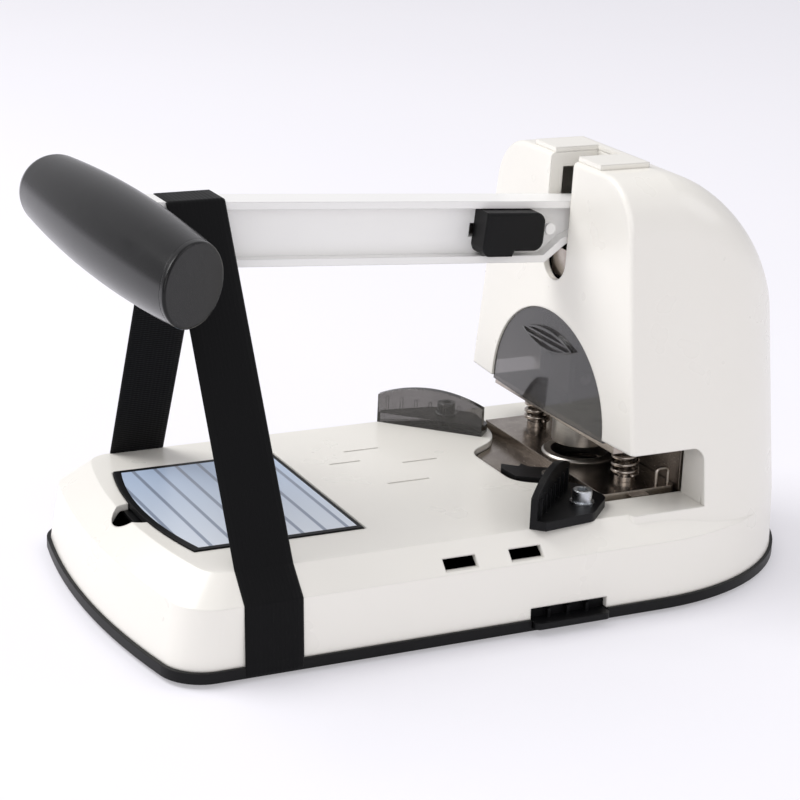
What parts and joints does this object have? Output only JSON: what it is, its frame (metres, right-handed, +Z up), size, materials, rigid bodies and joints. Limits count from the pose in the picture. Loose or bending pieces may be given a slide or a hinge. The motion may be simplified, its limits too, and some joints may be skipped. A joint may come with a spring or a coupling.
{
  "type": "die cutting machine",
  "caption": "Hand-lever bench die cutter for paper and card: moulded base and head, T-handle lever, ram, die set, V-fences, chip tray, storage lid and carrying strap.",
  "frame": {"origin": "on the bench surface, under the middle of the base", "axes": "+X to the operator's right, +Y from the handle to the rear, +Z up"},
  "size_m": [0.1833, 0.3345, 0.1828],
  "materials": {
    "white_abs": "moulded, glossy",
    "black_abs": "moulded, satin",
    "smoked": "smoked clear acrylic",
    "white_paint": "powder coated",
    "steel": "ground",
    "zinc": "bright zinc plate",
    "nickel": "nickel plate",
    "brass": "turned",
    "black_rubber": "moulded",
    "webbing": "woven nylon",
    "label": "printed film",
    "black_steel": "black oxide"
  },
  "bodies": {
    "base": {"base_plate": "black_abs", "base_screws": "zinc", "chip_chute": "black_abs", "die_bed": "steel", "die_edge_clip": "steel", "die_plate_lower": "steel", "die_posts": "nickel", "die_ring": "steel", "die_spring_left": "nickel", "die_spring_right": "nickel", "die_staple": "nickel", "fence_left": "smoked", "fence_nuts": "zinc", "fence_right": "black_abs", "fence_screws": "zinc", "fence_washers": "zinc", "finger_guard": "smoked", "frame_bolts": "zinc", "frame_feet": "black_steel", "frame_foot_screws": "zinc", "frame_nuts": "zinc", "frame_plate_left": "black_steel", "frame_plate_right": "black_steel", "frame_spacers": "black_steel", "guide_screws": "zinc", "housing_shell": "white_abs", "latch_pin": "steel", "pivot_clips": "zinc", "pivot_pin": "steel", "ram_guide_front": "steel", "ram_guide_rear": "steel", "ram_return_spring": "nickel", "rubber_feet": "black_rubber", "slot_collar": "white_abs", "storage_well": "black_abs", "strap": "webbing"},
    "lever": {"lever_arm": "white_paint", "pivot_bush": "brass", "stop_rivet": "white_abs", "lever_yoke": "nickel", "yoke_rivets": "nickel", "handle_rod": "steel", "grip_sleeve": "black_abs", "grip_end_cap": "black_abs", "handle_screw": "zinc"},
    "lock": {"lock_knob": "black_abs", "lock_slide_plate": "steel"},
    "ram": {"ram": "steel", "ram_drive_pin": "steel", "punch_shank": "black_steel", "punch": "steel", "die_plate_upper": "black_steel"},
    "tray": {"chip_tray": "black_abs"},
    "lid": {"storage_lid": "black_abs", "lid_label": "label"},
    "latch": {"die_latch": "black_abs"}
  },
  "joints": [
    {"name": "lever_pivot", "type": "hinge", "parent": "base", "child": "lever", "pos_m": [0, 0.106, 0.146], "axis": [1, 0, 0], "range_deg": [0, 12], "stiffness_Nm_per_rad": 6, "springref_deg": -28.65, "deforming": ["strap"]},
    {"name": "ram_slide", "type": "slide", "parent": "base", "child": "ram", "axis": [0, 0, -1], "range_m": [0, 0.00715], "deforming": ["die_spring_left", "die_spring_right", "ram_return_spring"]},
    {"name": "lock_slide", "type": "slide", "parent": "lever", "child": "lock", "axis": [0, -0.9979, 0.064], "range_m": [0, 0.01]},
    {"name": "tray_slide", "type": "slide", "parent": "base", "child": "tray", "axis": [1, 0, 0], "range_m": [0, 0.06]},
    {"name": "lid_hinge", "type": "hinge", "parent": "base", "child": "lid", "pos_m": [0, -0.0596, 0.0406], "axis": [-1, 0, 0], "range_deg": [0, 35]},
    {"name": "latch_pivot", "type": "hinge", "parent": "base", "child": "latch", "pos_m": [0.022, 0.044, 0.0418], "axis": [0, 0, -1], "range_deg": [0, 14]}
  ],
  "couplings": [
    {"joint": "ram_slide", "follows": "lever_pivot", "m_per_rad": 0.034}
  ]
}
